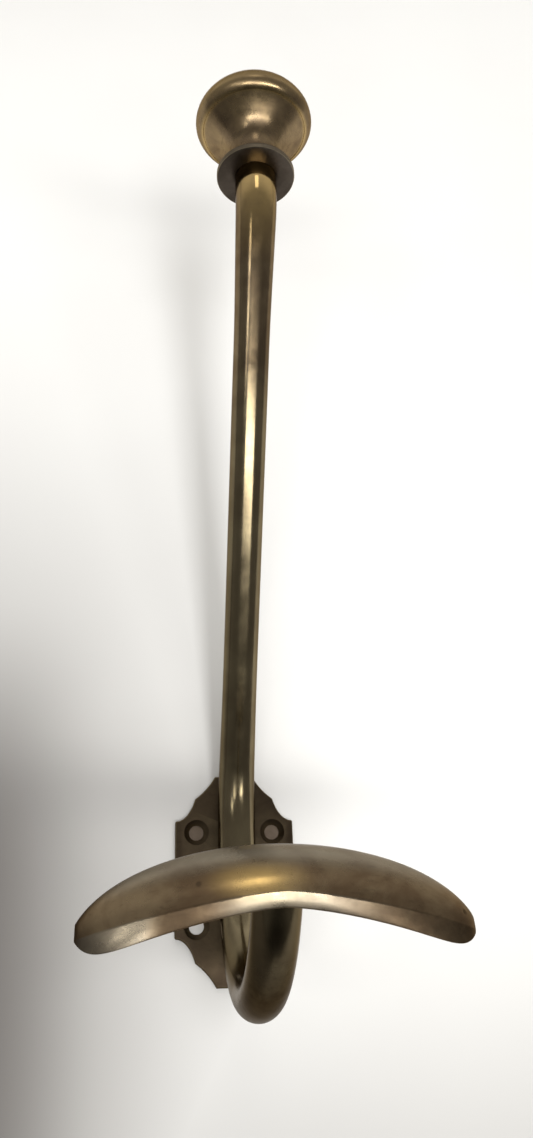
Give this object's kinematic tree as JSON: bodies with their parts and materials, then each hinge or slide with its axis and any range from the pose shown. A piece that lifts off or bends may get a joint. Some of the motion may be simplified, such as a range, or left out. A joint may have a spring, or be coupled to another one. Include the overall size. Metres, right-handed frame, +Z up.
{
  "type": "hat and coat hook",
  "caption": "Wall hook in aged brass: a tall bent round stem with a turned knob for hats, a shaped screw-on back plate and a domed crescent bow for coats.",
  "frame": {"origin": "centre of the back plate's rear face, the face that lies on the wall", "axes": "+X to the right along the bow, +Y out of the plate's rear face into the wall, +Z up, as the hook hangs in use"},
  "size_m": [0.0916, 0.1216, 0.2787],
  "materials": {
    "stem_brass": "drawn brass rod, satin, brown aged patina with brighter worn streaks",
    "plate_brass": "dark brown aged brass plate, dull",
    "collar_brass": "turned brass, darkened almost black-brown",
    "head_brass": "turned brass, polished by handling over golden-brown patina",
    "bow_brass": "cast brass, satin, worn bright along the front rim, small casting pits",
    "fixing_brass": "plain machined brass, hidden"
  },
  "bodies": {
    "root": {"back_plate": "plate_brass", "stem_rod": "stem_brass", "stem_rivet_lower": "fixing_brass", "stem_rivet_upper": "fixing_brass", "knob_collar": "collar_brass", "knob_head": "head_brass", "knob_stud": "fixing_brass", "coat_bow": "bow_brass", "bow_stud": "fixing_brass"}
  },
  "joints": []
}
